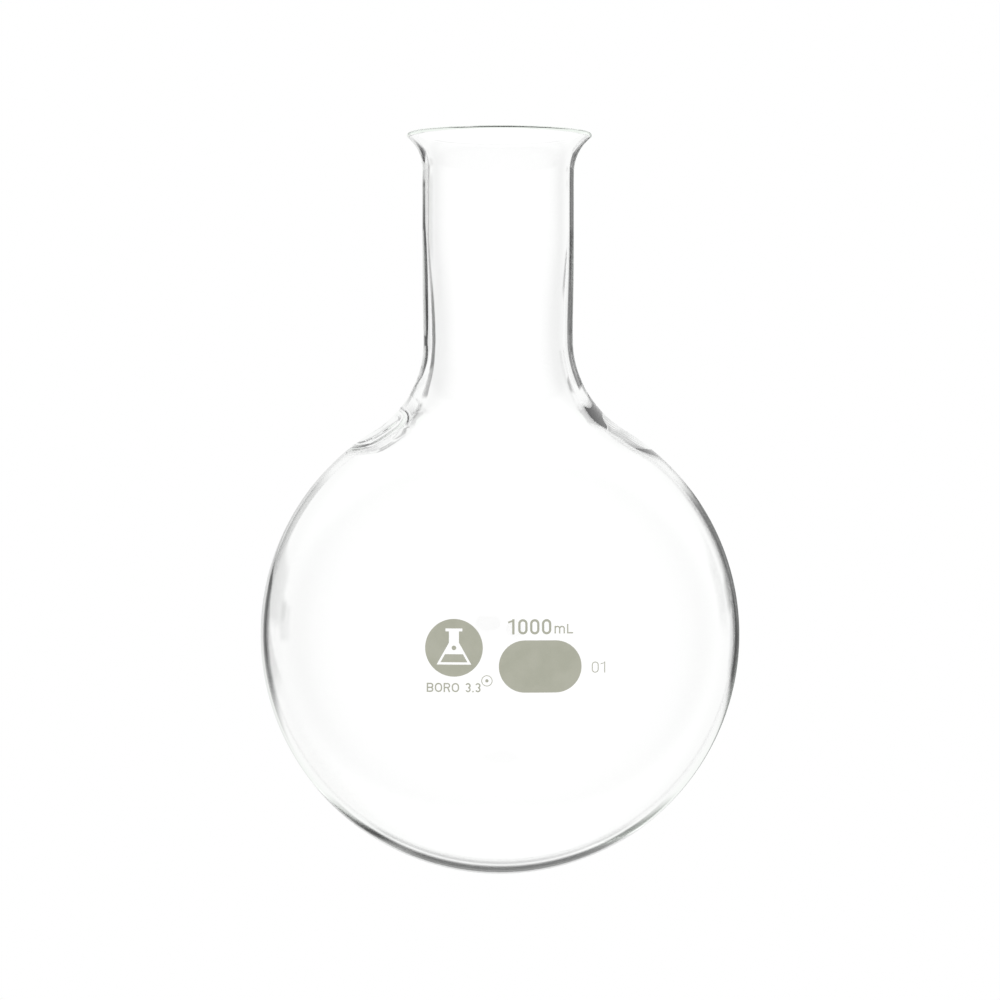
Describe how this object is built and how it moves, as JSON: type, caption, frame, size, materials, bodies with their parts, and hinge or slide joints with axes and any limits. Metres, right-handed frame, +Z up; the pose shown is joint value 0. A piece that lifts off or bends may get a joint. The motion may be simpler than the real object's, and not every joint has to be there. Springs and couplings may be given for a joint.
{
  "type": "round-bottom flask",
  "caption": "Round-bottom glass boiling flask with a spherical body, a straight open neck with a flared lip, and a printed capacity and marking patch.",
  "frame": {"origin": "lowest point of the bulb, on the neck's axis", "axes": "+Z up the neck's axis, the printed marks on the -Y side, +X to the reader's right"},
  "size_m": [0.131, 0.131, 0.2028],
  "materials": {
    "glass": "clear, fire polished",
    "enamel": "matt, fired on"
  },
  "bodies": {
    "root": {"bulb": "glass", "neck": "glass", "emblem": "enamel", "emblem_liquid": "enamel", "grade_mark": "enamel", "ring_mark": "enamel", "capacity_number": "enamel", "capacity_unit": "enamel", "marking_patch": "enamel", "batch_number": "enamel"}
  },
  "joints": []
}
